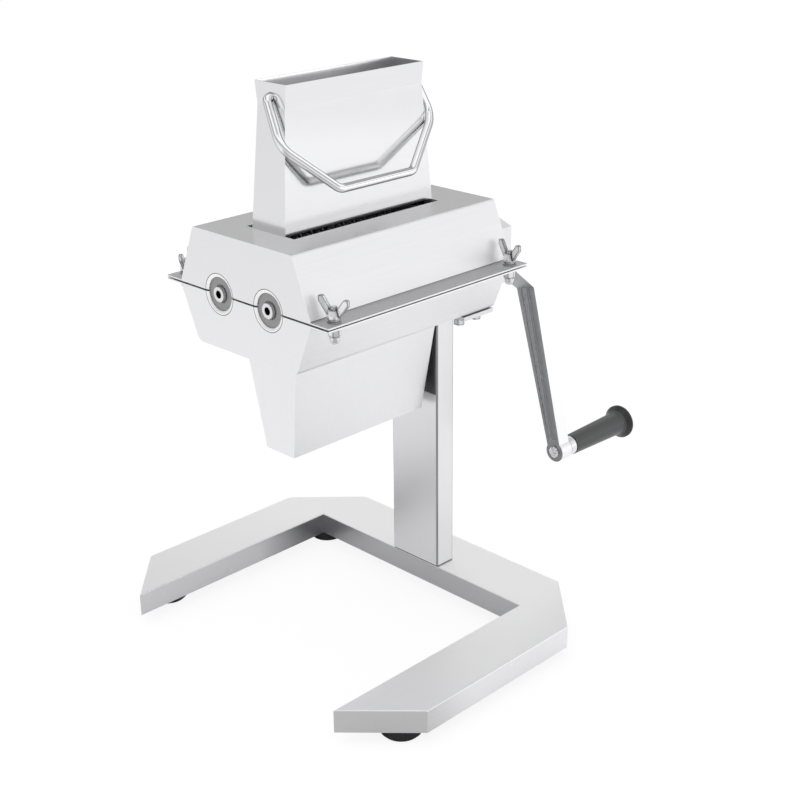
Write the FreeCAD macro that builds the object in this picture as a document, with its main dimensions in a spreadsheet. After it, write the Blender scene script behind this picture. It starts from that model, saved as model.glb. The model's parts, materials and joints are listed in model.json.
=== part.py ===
import FreeCAD, Part
import math
import os
import re

import Sketcher
from FreeCAD import Vector

# Hand crank meat tenderizer on a floor stand, in millimetres.
# X runs along the two blade rollers, from the open end of the base to the crank.
# Y runs across the machine, and Z is up. The origin is on the floor, under the middle of the whole machine.

doc = FreeCAD.newDocument("meat_tenderizer")

# Driving dimensions
driving = {
    # base, a folded sheet tray in the shape of a U
    "base_width": 422,
    "base_depth": 325,
    "base_thickness": 24,
    "base_sheet": 2,
    "base_bend": 1.2,
    "leg_width": 62,
    "leg_tip_cut": 59,
    "crossbar_width": 66,
    "rear_corner_cut": 64,
    # feet
    "foot_height": 12,
    "foot_radius": 20,
    "foot_edge": 2.5,
    "front_foot_reach": 57,
    "rear_foot_reach": 50,
    "front_foot_inset": 32,
    "rear_foot_inset": 50,
    "foot_recess": 5,
    "bracket_length": 46,
    "bracket_thickness": 4,
    "weld_gap": 0.1,
    # post and the plate that carries the head
    "column_width": 66,
    "column_depth": 25,
    "column_height": 288.5,
    "column_wall": 2,
    "column_corner": 2,
    "plate_width": 140,
    "plate_thickness": 4,
    "plate_bolt_side": 58,
    "plate_bolt_inset": 6,
    "plate_bolt_spacing": 24,
    # head shells
    "head_length": 262,
    "head_inset": 23,
    "end_wall": 6,
    "shell_sheet": 1.5,
    "parting_gap": 1.2,
    "body_width": 184,
    "flange_width": 227,
    "flange_corner": 1,
    "housing_depth": 53.5,
    "housing_floor_width": 139,
    "housing_bend": 9,
    "cover_height": 58,
    "cover_top_width": 138,
    "cover_bend": 2,
    "feed_offset": 3,
    "feed_length": 186,
    "feed_width": 66,
    # cover studs, wing nuts and washers
    "stud_end_inset": 16,
    "stud_side_inset": 9.5,
    "stud_radius": 3,
    "thread_play": 0.05,
    "hole_play": 0.3,
    "flat_washer_radius": 6.5,
    "flat_washer_thickness": 1.6,
    "spring_washer_radius": 5.4,
    "spring_washer_thickness": 1.6,
    "spring_washer_slit": 1.2,
    "cap_nut_width": 10,
    "cap_nut_height": 8,
    "cap_dome_radius": 4.7,
    "cap_dome_height": 8,
    "cap_dome_steps": 3,
    "wing_hub_radius": 6,
    "wing_hub_top_radius": 4.8,
    "wing_hub_height": 9,
    "wing_root": 7,
    "wing_root_height": 2.5,
    "wing_span": 33,
    "wing_height": 19.5,
    "wing_thickness": 3,
    "wing_tip_width": 4.5,
    "wing_tip_height": 5.5,
    "wing_tip_radius": 2,
    "wing_turn_front_right": 98,
    "wing_turn_front_left": 35,
    "wing_turn_rear_right": 76,
    "wing_turn_rear_left": 140,
    "stud_stand_out": 2,
    # rollers
    "gear_module": 3,
    "gear_teeth": 23,
    "pressure_angle": 20,
    "gear_root_depth": 3.75,
    "gear_backlash": 0.2,
    "gear_width": 12,
    "gear_gap": 1.8,
    "blade_radius": 38,
    "blade_thickness": 1.5,
    "blade_count": 13,
    "blade_pitch": 14,
    "blade_teeth": 12,
    "gullet_depth": 6,
    "gullet_width": 9,
    "hexagon_width": 20,
    "hexagon_play": 0.1,
    "spacer_radius": 17,
    "journal_radius": 7.5,
    "running_clearance": 0.05,
    "end_play": 0.3,
    "nose_length": 3.4,
    "nose_ring_radius": 8.8,
    "nose_ring_depth": 1.5,
    "centre_hole_radius": 3.6,
    "centre_hole_depth": 14,
    "key_width": 5,
    "key_length": 10,
    "key_play": 0.05,
    "bush_radius": 16.2,
    "bush_recess": 2.5,
    "bush_flange_radius": 19.5,
    "bush_flange": 4,
    "seat_clearance": 0.1,
    "seat_rim_radius": 19.5,
    "seat_rim_depth": 1.2,
    # stripping combs
    "comb_drop": 35,
    "comb_gap": 0.6,
    "comb_finger": 2,
    "comb_finger_width": 12,
    "comb_spine": 6,
    "comb_spine_gap": 2,
    "comb_foot_length": 14,
    "comb_foot_width": 9,
    "comb_foot_thickness": 3,
    "comb_foot_side": 57,
    "comb_foot_offset": 77,
    "comb_foot_spacing": 125,
    # gear case
    "gear_case_depth": 19.3,
    "gear_case_width": 151,
    "gear_case_side": 28,
    "gear_case_top": 41.5,
    "gear_case_slope": 20.5,
    "gear_case_screw_height": 31,
    "pillar_radius": 5,
    "case_screw_radius": 2.5,
    "case_screw_head_radius": 4.8,
    "case_screw_head_height": 2.8,
    "case_hole_play": 0.8,
    # crank and grip
    "crank_radius": 237,
    "crank_rest": 14.8,
    "hub_gap": 9,
    "hub_radius": 15,
    "hub_length": 18,
    "crank_offset": 46.2,
    "kink_drop": 57,
    "slope_start": 13.6,
    "arm_thickness": 16,
    "arm_width": 24,
    "arm_tip_width": 16.5,
    "boss_radius": 11.2,
    "channel_depth": 3,
    "channel_left_rim": 12.5,
    "channel_left_rim_at_tip": 5.6,
    "channel_right_rim": 1.8,
    "channel_end": 13.5,
    "groove_width": 2.6,
    "groove_depth": 2,
    "square_width": 10.6,
    "square_play": 0.1,
    "crank_stud_radius": 4,
    "crank_nut_width": 13,
    "crank_nut_height": 6.5,
    "crank_washer_radius": 8,
    "crank_washer_thickness": 1.6,
    "collar_radius": 10.5,
    "collar_length": 10.5,
    "collar_bevel": 1,
    "pin_radius": 5,
    "pin_head_radius": 6.5,
    "pin_head_height": 3,
    "grip_play": 0.3,
    "grip_length": 90,
    "grip_near_radius": 11,
    "grip_far_radius": 12.8,
    "grip_flange_radius": 18.5,
    "grip_flange": 5,
    "grip_flange_bevel": 1.4,
    "grip_recess_radius": 8,
    "grip_recess": 9,
    "grip_nut_radius": 6.8,
    "grip_nut_height": 5,
    # hopper and its carrying bail
    "hopper_sheet": 1.2,
    "hopper_height": 133.3,
    "hopper_foot_length": 189,
    "hopper_foot_width": 46,
    "hopper_neck_drop": 20.5,
    "hopper_neck_length": 170.5,
    "hopper_neck_width": 37,
    "hopper_mouth_length": 170.5,
    "hopper_mouth_width": 42.2,
    "tongue_depth": 10,
    "tongue_rise": 14,
    "tongue_play": 0.6,
    "bail_wire": 8,
    "bail_pivot_drop": 12.5,
    "bail_pivot_half": 90.2,
    "bail_shoulder_half": 95,
    "bail_shoulder_reach": 46,
    "bail_bar_half": 46.2,
    "bail_reach": 93,
    "bail_shoulder_bend": 24,
    "bail_bar_bend": 11,
    "bail_pivot_bend": 5,
    "bail_lean": 28.6,
    "bail_hole_play": 0.4,
    "bail_stub": 3,
    # discharge chute
    "chute_offset": 8.5,
    "chute_length": 188.8,
    "chute_width": 72,
    "chute_mouth_length": 174,
    "chute_mouth_width": 39.4,
    "chute_height": 107,
    "chute_sheet": 1.2,
    "chute_flange": 15,
    "chute_play": 0.3,
    "chute_screw_side": 44.5,
    "chute_screw_spacing": 150,
    "small_screw_radius": 2,
    "screw_head_radius": 3.6,
    "screw_head_bevel": 1,
    "screw_head_height": 2.6,
    # hexagon fasteners of the stand and the head plate
    "bolt_radius": 3,
    "bolt_head_width": 10,
    "bolt_head_height": 6.5,
    "nut_height": 5,
    "bolt_stand_out": 2,
    "foot_screw_head_radius": 6,
    "foot_screw_head_height": 3.5,
    # how far a cut or a joined solid runs past the surface it has to reach
    "overrun": 1,
}

# Places and sizes that follow from the driving dimensions
derived = {
    "half_base": "base_width / 2",
    "inner_half": "half_base - leg_width",
    "front_foot_side": "half_base - front_foot_inset",
    "rear_foot_side": "half_base - rear_foot_inset",
    "crank_reach": "gear_case_depth + hub_gap + crank_offset + arm_thickness + collar_length + grip_play"
                   " + grip_length",
    "rear_edge": "(base_depth + head_inset - crank_reach) / 2",
    "front_tip": "rear_edge - base_depth",
    "column_front": "rear_edge - crossbar_width",
    "base_top": "foot_height + base_thickness",
    "plate_bottom": "base_top + column_height",
    "floor_height": "plate_bottom + plate_thickness",
    "axis_height": "floor_height + housing_depth",
    "top_height": "axis_height + cover_height",
    "head_rear": "rear_edge - head_inset",
    "head_front": "head_rear - head_length",
    "plate_bolt_front": "column_front + plate_bolt_inset",
    "roller_offset": "gear_module * gear_teeth / 2",
    "half_gap": "parting_gap / 2",
    "half_body": "body_width / 2",
    "half_flange": "flange_width / 2",
    "feed_place": "head_length / 2 - feed_offset",
    "chute_place": "head_length / 2 - chute_offset",
    "first_blade": "feed_place - (blade_count - 0.5) * blade_pitch / 2",
    "blade_row": "(blade_count - 1) * blade_pitch",
    "hexagon_start": "end_wall + bush_flange + end_play",
    "hexagon_end": "head_length - hexagon_start",
    "stud_side": "half_flange - stud_side_inset",
    "stud_row": "head_length - 2 * stud_end_inset",
    "cover_face": "half_gap + shell_sheet",
    "nut_seat": "cover_face + flat_washer_thickness + spring_washer_thickness",
    "shaft_nose": "bush_recess - nose_length",
    "gear_place": "head_length + gear_gap",
    "hub_place": "head_length + gear_case_depth + hub_gap",
    "base_radius": "roller_offset * cos(pressure_angle)",
    "tip_radius": "roller_offset + gear_module",
    "root_radius": "roller_offset - gear_root_depth",
    "pitch_turn": "90 / gear_teeth + gear_backlash / roller_offset * 45 / pi",
    "base_turn": "pitch_turn - (tan(pressure_angle) * 180 / pi - pressure_angle)",
    "tip_angle": "acos(base_radius / tip_radius) / 1 deg",
    "tip_turn": "base_turn + (tan(tip_angle) * 180 / pi - tip_angle)",
    "comb_near": "blade_radius + comb_spine_gap",
    "comb_far": "comb_near + comb_spine",
    "comb_half": "comb_finger_width / 2",
    "comb_start": "spacer_radius + comb_gap",
    "comb_foot_place": "feed_place - comb_foot_offset",
    "rim_angle": "atan((seat_rim_radius - bush_radius - seat_clearance) / seat_rim_depth) / 1 deg",
    "rim_middle": "channel_left_rim / 2",
    "rim_middle_at_tip": "channel_left_rim_at_tip / 2",
    "tongue_place": "feed_length / 2 - tongue_play",
    "tongue_half": "hopper_neck_width / 2 - 2 * hopper_sheet",
    "dome_start": "0 - cover_face - cap_nut_height",
    "dome_straight": "cap_dome_height - cap_dome_radius",
    "floor_face": "housing_depth - shell_sheet",
    "case_flat": "gear_case_width / 2 - (gear_case_top - gear_case_side) / tan(gear_case_slope)",
    "arm_face": "crank_offset + arm_thickness",
    "slope_angle": "atan(crank_offset / (kink_drop - slope_start)) / 1 deg",
    "miter": "arm_thickness * tan(slope_angle / 2)",
    "grip_start": "arm_face + collar_length + grip_play",
    "neck_height": "hopper_height - hopper_neck_drop",
    "pivot_height": "hopper_height - bail_pivot_drop",
    "bail_end": "hopper_mouth_length / 2 - hopper_sheet - bail_stub",
    "corner_line": "rear_edge - rear_corner_cut + half_base - (base_sheet + weld_gap) * sqrt(2)",
    "bracket_half": "bracket_length / 2",
    "tip_slope": "leg_tip_cut / leg_width",
    "tip_line": "front_tip + (base_sheet + weld_gap) * sqrt(1 + tip_slope ^ 2)",
    "front_foot": "front_tip + front_foot_reach",
    "rear_foot": "rear_edge - rear_foot_reach",
}

sizes = doc.addObject("Spreadsheet::Sheet", "Sizes")
for row, (name, value) in enumerate(driving.items(), 1):
    sizes.set("A%d" % row, name)
    sizes.set("B%d" % row, str(value))
    sizes.setAlias("B%d" % row, name)
doc.recompute()


def named(text):
    """Write each size name in a formula with the sheet that holds it."""
    def full_name(match):
        word = match[0]
        if word in driving:
            return "Sizes." + word
        if word in derived:
            return "Places." + word
        return word
    return re.sub(r"[a-z]\w*", full_name, text)


places = doc.addObject("Spreadsheet::Sheet", "Places")
for row, (name, formula) in enumerate(derived.items(), 1):
    places.set("A%d" % row, name)
    places.setAlias("B%d" % row, name)
    places.set("B%d" % row, "=" + named(formula).replace("Places.", ""))
doc.recompute()


def value_of(name):
    """Read one named size or place."""
    return sizes.get(name) if name in driving else places.get(name)


# Ways of working that the pieces share: how far two equal lengths may lie apart, and how wide a sketch is
# drawn before its constraints act

closeness = 0.001
spread = 50


def piece(label, x="0", y="0", z="0", axis=None, turn="0"):
    """Start a body with its label and place, turned about one axis where it has one."""
    body = doc.addObject("PartDesign::Body", label)
    body.Label = label
    spin = "; rotation(vector(%s); %s)" % (axis, turn) if axis else "; rotation(0; 0; 0)"
    body.setExpression("Placement", named("placement(vector(%s; %s; %s)%s)" % (x, y, z, spin)))
    return body


def datum(body, role):
    """Find one of the body's own origin planes or axes."""
    return next(item for item in body.Origin.OriginFeatures if item.Role == role)


def sketch(body, role, offset="0"):
    """Start a sketch on an origin plane, moved along the plane's normal."""
    drawing = body.newObject("Sketcher::SketchObject", "Sketch")
    drawing.AttachmentSupport = [(datum(body, role), "")]
    drawing.MapMode = "FlatFace"
    drawing.setExpression("AttachmentOffset.Base.z", named(offset))
    return drawing


def hold(drawing, kind, geometry, point, start, formula):
    """Tie one coordinate of a sketch point to a formula."""
    number = drawing.addConstraint(Sketcher.Constraint(kind, -1, 1, geometry, point, start))
    drawing.setExpression("Constraints[%d]" % number, named(formula))


def polygon(drawing, points):
    """Draw a closed outline through points whose coordinates are formulas."""
    first = drawing.GeometryCount
    count = len(points)
    corners = []
    for step in range(count):
        turn = 2 * math.pi * step / count
        corners.append(Vector(spread * math.cos(turn), spread * math.sin(turn), 0))
    for step in range(count):
        drawing.addGeometry(Part.LineSegment(corners[step], corners[(step + 1) % count]), False)
    for step in range(count):
        after = first + (step + 1) % count
        drawing.addConstraint(Sketcher.Constraint("Coincident", first + step, 2, after, 1))
    for step, (across, up) in enumerate(points):
        hold(drawing, "DistanceX", first + step, 1, corners[step].x, across)
        hold(drawing, "DistanceY", first + step, 1, corners[step].y, up)


def rectangle(drawing, left, right, low, high):
    """Draw a rectangle between four formulas."""
    polygon(drawing, [(left, low), (right, low), (right, high), (left, high)])


def circle(drawing, radius, across="0", up="0"):
    """Draw a circle whose centre and radius are formulas."""
    centre = Vector(spread, spread, 0)
    number = drawing.addGeometry(Part.Circle(centre, Vector(0, 0, 1), spread), False)
    hold(drawing, "DistanceX", number, 3, centre.x, across)
    hold(drawing, "DistanceY", number, 3, centre.y, up)
    limit = drawing.addConstraint(Sketcher.Constraint("Radius", number, spread))
    drawing.setExpression("Constraints[%d]" % limit, named(radius))


def hexagon(drawing, width, across="0", up="0"):
    """Draw a hexagon by its width over flats, with a corner at the top and the bottom."""
    side = "(%s) / 2" % width
    short = "(%s) / sqrt(12)" % width
    tall = "(%s) / sqrt(3)" % width
    spots = [(side, short), ("0", tall), ("-" + side, short), ("-" + side, "-" + short), ("0", "-" + tall),
             (side, "-" + short)]
    polygon(drawing, [("%s + %s" % (across, right), "%s + %s" % (up, high)) for right, high in spots])


def pad(body, drawing, length, way=1, middle=False):
    """Raise a sketch by a length along its normal, or against it."""
    feature = body.newObject("PartDesign::Pad", "Pad")
    feature.Profile = drawing
    feature.Reversed = way < 0
    if middle:
        feature.SideType = "Symmetric"
    feature.setExpression("Length", named(length))
    doc.recompute()
    return feature


def cut(body, drawing, length=None, way=1, taper=None):
    """Cut a sketch through everything, or by a length along its normal or against it."""
    before = body.Shape.Volume
    feature = body.newObject("PartDesign::Pocket", "Pocket")
    feature.Profile = drawing
    if length is None:
        feature.Type = "ThroughAll"
        feature.Midplane = True
    else:
        feature.Reversed = way > 0
        feature.setExpression("Length", named(length))
    if taper:
        feature.setExpression("TaperAngle", named(taper))
    doc.recompute()
    if body.Shape.Volume > before - closeness:
        raise ValueError(body.Label + ": a cut misses the solid")
    return feature


def turned(body, points, role="X_Axis"):
    """Turn a closed profile, drawn as length and radius, about the X axis or the Z axis."""
    flat = role == "X_Axis"
    drawing = sketch(body, "XY_Plane" if flat else "XZ_Plane")
    polygon(drawing, points if flat else [(radius, length) for length, radius in points])
    feature = body.newObject("PartDesign::Revolution", "Revolution")
    feature.Profile = drawing
    feature.ReferenceAxis = (datum(body, role), [""])
    feature.Angle = 360
    doc.recompute()
    return feature


def repeat(body, axis, length, count="2", axis2=None, length2="0", features=None):
    """Copy the whole solid, or some features, along one axis, and in a pair along a second one."""
    pattern = body.newObject("PartDesign::LinearPattern", "LinearPattern")
    if features:
        pattern.Originals = features
    else:
        pattern.TransformMode = "Whole shape"
    pattern.Direction = (datum(body, axis), [""])
    pattern.setExpression("Length", named(length))
    pattern.setExpression("Occurrences", named(count))
    if axis2:
        pattern.Direction2 = (datum(body, axis2), [""])
        pattern.setExpression("Length2", named(length2))
        pattern.Occurrences2 = 2
    body.Tip = pattern
    doc.recompute()


def spin(body, features, count):
    """Copy features evenly round the X axis."""
    pattern = body.newObject("PartDesign::PolarPattern", "PolarPattern")
    pattern.Originals = features
    pattern.Axis = (datum(body, "X_Axis"), [""])
    pattern.Angle = 360
    pattern.setExpression("Occurrences", named(count))
    body.Tip = pattern
    doc.recompute()


def lofted(body, kind, sections):
    """Join rectangles of given length and width at given heights with flat walls."""
    drawings = []
    for length, width, height in sections:
        drawing = sketch(body, "XY_Plane", height)
        rectangle(drawing, "-(%s) / 2" % length, "(%s) / 2" % length, "-(%s) / 2" % width, "(%s) / 2" % width)
        drawings.append(drawing)
    doc.recompute()
    feature = body.newObject("PartDesign::" + kind, kind)
    feature.Profile = drawings[0]
    feature.Sections = drawings[1:]
    feature.Ruled = True
    doc.recompute()
    return feature


def dress(body, kind, property_name, formula, wanted):
    """Round or bevel the edges that a test picks."""
    base = body.Tip
    picked = ["Edge%d" % number for number, edge in enumerate(base.Shape.Edges, 1) if wanted(edge)]
    if not picked:
        raise ValueError(body.Label + ": no edge to dress")
    feature = body.newObject("PartDesign::" + kind, kind)
    feature.Base = (base, picked)
    feature.setExpression(property_name, named(formula))
    doc.recompute()


def rounded(body, radius, wanted):
    dress(body, "Fillet", "Radius", radius, wanted)


def bevelled(body, size, wanted):
    dress(body, "Chamfer", "Size", size, wanted)


def direction(edge):
    """Give a straight edge's direction, and nothing for a curved one."""
    if edge.Curve.TypeId != "Part::GeomLine":
        return Vector()
    step = edge.Vertexes[1].Point - edge.Vertexes[0].Point
    return step.normalize()


def runs(edge, axis):
    """Tell whether a straight edge runs along one axis."""
    return abs(getattr(direction(edge), axis)) > 1 - closeness


def lies(edge, axis, value):
    """Tell whether the whole edge lies at one value of one axis."""
    return all(abs(getattr(corner.Point, axis) - value) < closeness for corner in edge.Vertexes)


def hollow(body, thickness, wanted):
    """Hollow the solid out, leaving the faces open that a test picks."""
    base = body.Tip
    picked = ["Face%d" % number for number, face in enumerate(base.Shape.Faces, 1) if wanted(face)]
    feature = body.newObject("PartDesign::Thickness", "Thickness")
    feature.Base = (base, picked)
    feature.Reversed = True
    feature.Join = "Intersection"
    feature.setExpression("Value", named(thickness))
    doc.recompute()


# Base: one folded tray in the shape of a U, open below, with its rear corners and leg tips cut at a slant

base = piece("base_frame", z="foot_height")
plan = sketch(base, "XY_Plane")
polygon(plan, [
    ("front_tip", "inner_half"),
    ("front_tip + leg_tip_cut", "half_base"),
    ("rear_edge - rear_corner_cut", "half_base"),
    ("rear_edge", "half_base - rear_corner_cut"),
    ("rear_edge", "rear_corner_cut - half_base"),
    ("rear_edge - rear_corner_cut", "-half_base"),
    ("front_tip + leg_tip_cut", "-half_base"),
    ("front_tip", "-inner_half"),
    ("column_front", "-inner_half"),
    ("column_front", "inner_half"),
])
pad(base, plan, "base_thickness")
hollow(base, "base_sheet", lambda face: abs(face.CenterOfMass.z) < closeness)
tray_top = value_of("base_thickness")
rounded(base, "base_bend", lambda edge: lies(edge, "z", tray_top))

# Feet: a rubber foot under a plate that is welded across the tray, with its screw and nut, in two pairs

for where in ("front", "rear"):
    home = {"x": where + "_foot", "y": "-%s_foot_side" % where}
    span = "2 * %s_foot_side" % where

    plate = piece(where + "_foot_brackets", z="foot_height")
    outline = sketch(plate, "XY_Plane")
    if where == "front":
        near = "inner_half + base_sheet + weld_gap"
        far = "half_base - base_sheet - weld_gap"
        polygon(outline, [
            ("front_foot + bracket_half", near),
            ("front_foot + bracket_half", far),
            ("tip_line + (half_base - base_sheet - weld_gap - inner_half) * tip_slope", far),
            ("front_foot - bracket_half", "inner_half + (front_foot - bracket_half - tip_line) / tip_slope"),
            ("front_foot - bracket_half", near),
        ])
    else:
        behind = "rear_edge - base_sheet - weld_gap"
        polygon(outline, [
            ("column_front + base_sheet + weld_gap", "rear_foot_side - bracket_half"),
            ("column_front + base_sheet + weld_gap", "rear_foot_side + bracket_half"),
            ("corner_line - rear_foot_side - bracket_half", "rear_foot_side + bracket_half"),
            (behind, "corner_line - (%s)" % behind),
            (behind, "rear_foot_side - bracket_half"),
        ])
    circle(outline, "bolt_radius + hole_play", where + "_foot", where + "_foot_side")
    pad(plate, outline, "bracket_thickness")
    mirror = plate.newObject("PartDesign::Mirrored", "Mirrored")
    mirror.TransformMode = "Whole shape"
    mirror.MirrorPlane = (datum(plate, "XZ_Plane"), [""])
    plate.Tip = mirror

    foot = piece(where + "_feet", **home)
    turned(foot, [
        ("foot_recess", "bolt_radius + hole_play"),
        ("foot_recess", "foot_screw_head_radius + 2 * hole_play"),
        ("0", "foot_screw_head_radius + 2 * hole_play"),
        ("0", "foot_radius - foot_edge"),
        ("foot_edge", "foot_radius"),
        ("foot_height", "foot_radius"),
        ("foot_height", "bolt_radius + hole_play"),
    ], "Z_Axis")

    screw = piece(where + "_foot_screws", **home)
    turned(screw, [
        ("foot_recess - foot_screw_head_height", "0"),
        ("foot_recess - foot_screw_head_height", "foot_screw_head_radius"),
        ("foot_recess", "foot_screw_head_radius"),
        ("foot_recess", "bolt_radius"),
        ("foot_height + bracket_thickness + nut_height + bolt_stand_out", "bolt_radius"),
        ("foot_height + bracket_thickness + nut_height + bolt_stand_out", "0"),
    ], "Z_Axis")

    nut = piece(where + "_foot_nuts", z="foot_height + bracket_thickness", **home)
    outline = sketch(nut, "XY_Plane")
    hexagon(outline, "bolt_head_width")
    circle(outline, "bolt_radius + thread_play")
    pad(nut, outline, "nut_height")

    for body in (foot, screw, nut):
        repeat(body, "Y_Axis", span)

# Post: a rectangular tube that stands on the base, flush with the inner edge of the crossbar

column = piece("column", x="column_front", z="base_top")
section = sketch(column, "XY_Plane")
rectangle(section, "0", "column_depth", "-column_width / 2", "column_width / 2")
pad(column, section, "column_height")
rounded(column, "column_corner", lambda edge: runs(edge, "z"))
bore = sketch(column, "XY_Plane")
rectangle(bore, "column_wall", "column_depth - column_wall",
          "column_wall - column_width / 2", "column_width / 2 - column_wall")
cut(column, bore)

# Head plate: welded on the post, bolted to the floor of the lower housing

plate = piece("head_plate", x="column_front", z="plate_bottom")
outline = sketch(plate, "XY_Plane")
rectangle(outline, "0", "head_rear - column_front", "-plate_width / 2", "plate_width / 2")
for side in ("-plate_bolt_side", "plate_bolt_side"):
    circle(outline, "bolt_radius + hole_play", "plate_bolt_inset", side)
    circle(outline, "bolt_radius + hole_play", "plate_bolt_inset + plate_bolt_spacing", side)
pad(plate, outline, "plate_thickness")

bolts = piece("head_plate_bolts", x="plate_bolt_front", y="-plate_bolt_side", z="plate_bottom")
outline = sketch(bolts, "XY_Plane")
hexagon(outline, "bolt_head_width")
pad(bolts, outline, "bolt_head_height", way=-1)
shank = sketch(bolts, "XY_Plane")
circle(shank, "bolt_radius")
pad(bolts, shank, "plate_thickness + shell_sheet + nut_height + bolt_stand_out")
repeat(bolts, "X_Axis", "plate_bolt_spacing", "2", "Y_Axis", "2 * plate_bolt_side")

nuts = piece("head_plate_nuts", x="plate_bolt_front", y="-plate_bolt_side", z="floor_height + shell_sheet")
outline = sketch(nuts, "XY_Plane")
hexagon(outline, "bolt_head_width")
circle(outline, "bolt_radius + thread_play")
pad(nuts, outline, "nut_height")
repeat(nuts, "X_Axis", "plate_bolt_spacing", "2", "Y_Axis", "2 * plate_bolt_side")

# Head shells: the lower housing and the upper cover meet at the level of the roller axes


def shell(label, up, rise, far_width, bend):
    """Make one half of the head: slanted walls, end walls with half bores, and flanges along both sides."""
    sign = "" if up else "-"
    half = piece(label, x="head_front", z="axis_height")
    profile = sketch(half, "YZ_Plane")
    polygon(profile, [
        ("-half_body", sign + "half_gap"),
        ("half_body", sign + "half_gap"),
        ("%s / 2" % far_width, sign + rise),
        ("-%s / 2" % far_width, sign + rise),
    ])
    pad(half, profile, "head_length")
    edge_height = value_of(rise) if up else -value_of(rise)
    rounded(half, bend, lambda edge: runs(edge, "x") and lies(edge, "z", edge_height))

    lean = "shell_sheet * sqrt(1 + ((body_width - %s) / 2 / (%s - half_gap)) ^ 2)" % (far_width, rise)
    drift = "shell_sheet * (body_width - %s) / 2 / (%s - half_gap)" % (far_width, rise)
    room = sketch(half, "YZ_Plane", "end_wall")
    polygon(room, [
        ("%s - half_body" % lean, sign + "half_gap"),
        ("half_body - %s" % lean, sign + "half_gap"),
        ("%s / 2 + %s - %s" % (far_width, drift, lean), "%s(%s - shell_sheet)" % (sign, rise)),
        ("%s - %s / 2 - %s" % (lean, far_width, drift), "%s(%s - shell_sheet)" % (sign, rise)),
    ])
    cut(half, room, "head_length - 2 * end_wall")
    wall_height = edge_height - math.copysign(value_of("shell_sheet"), edge_height)
    rounded(half, bend + " - shell_sheet", lambda edge: runs(edge, "x") and lies(edge, "z", wall_height))

    flanges = sketch(half, "YZ_Plane")
    rectangle(flanges, "-half_flange", "%s / 2 - half_body" % lean, sign + "half_gap", sign + "cover_face")
    rectangle(flanges, "half_body - %s / 2" % lean, "half_flange", sign + "half_gap", sign + "cover_face")
    pad(half, flanges, "head_length")
    reach = value_of("half_flange")
    rounded(half, "flange_corner",
            lambda edge: runs(edge, "z") and abs(abs(edge.CenterOfMass.y) - reach) < closeness)

    holes = sketch(half, "XY_Plane")
    for x_place in ("stud_end_inset", "head_length - stud_end_inset"):
        for side in ("-stud_side", "stud_side"):
            circle(holes, "stud_radius + hole_play", x_place, side)
    cut(half, holes)

    seats = sketch(half, "YZ_Plane")
    circle(seats, "bush_radius + seat_clearance", "-roller_offset")
    circle(seats, "bush_radius + seat_clearance", "roller_offset")
    cut(half, seats)
    for face, way in (("0", 1), ("head_length", -1)):
        rims = sketch(half, "YZ_Plane", face)
        circle(rims, "seat_rim_radius", "-roller_offset")
        circle(rims, "seat_rim_radius", "roller_offset")
        cut(half, rims, "seat_rim_depth", way, "0 - rim_angle")

    screw_hole = sketch(half, "YZ_Plane", "head_length")
    circle(screw_hole, "case_screw_radius + thread_play", "0", sign + "gear_case_screw_height")
    cut(half, screw_hole, "end_wall", way=-1)
    return half


housing = shell("lower_housing", False, "housing_depth", "housing_floor_width", "housing_bend")
openings = sketch(housing, "XY_Plane", "-housing_depth")
rectangle(openings,
          "chute_place - chute_length / 2 - chute_play", "chute_place + chute_length / 2 + chute_play",
          "-chute_width / 2 - chute_play", "chute_width / 2 + chute_play")
for side in ("-", ""):
    for x_place in ("plate_bolt_front - head_front", "plate_bolt_front - head_front + plate_bolt_spacing"):
        circle(openings, "bolt_radius + hole_play", x_place, side + "plate_bolt_side")
    for x_place in ("chute_place - chute_screw_spacing / 2", "chute_place + chute_screw_spacing / 2"):
        circle(openings, "small_screw_radius + hole_play", x_place, side + "chute_screw_side")
    for x_place in ("comb_foot_place", "comb_foot_place + comb_foot_spacing"):
        circle(openings, "small_screw_radius + hole_play", x_place, side + "comb_foot_side")
cut(housing, openings, "2 * shell_sheet")

cover = shell("upper_cover", True, "cover_height", "cover_top_width", "cover_bend")
slot = sketch(cover, "XY_Plane", "cover_height")
rectangle(slot, "feed_place - feed_length / 2", "feed_place + feed_length / 2",
          "-feed_width / 2", "feed_width / 2")
cut(cover, slot, "2 * shell_sheet", way=-1)

# Discharge chute: four flat walls that narrow downwards, hung by a flange on the housing floor

chute = piece("discharge_chute", x="head_front + chute_place", z="floor_height")
chute_rim = "shell_sheet + chute_sheet"
lofted(chute, "AdditiveLoft", [
    ("chute_length", "chute_width", chute_rim),
    ("chute_mouth_length", "chute_mouth_width", "-chute_height"),
])
collar = sketch(chute, "XY_Plane", "shell_sheet")
rectangle(collar, "-chute_length / 2 - chute_flange", "chute_length / 2 + chute_flange",
          "-chute_width / 2 - chute_flange", "chute_width / 2 + chute_flange")
pad(chute, collar, "chute_sheet")
lofted(chute, "SubtractiveLoft", [
    ("chute_length - 2 * chute_sheet", "chute_width - 2 * chute_sheet", chute_rim),
    ("chute_mouth_length - 2 * chute_sheet", "chute_mouth_width - 2 * chute_sheet", "-chute_height"),
])
holes = sketch(chute, "XY_Plane", "shell_sheet")
for side in ("-chute_screw_side", "chute_screw_side"):
    circle(holes, "small_screw_radius + thread_play", "-chute_screw_spacing / 2", side)
    circle(holes, "small_screw_radius + thread_play", "chute_screw_spacing / 2", side)
cut(chute, holes, "2 * chute_sheet")


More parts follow.
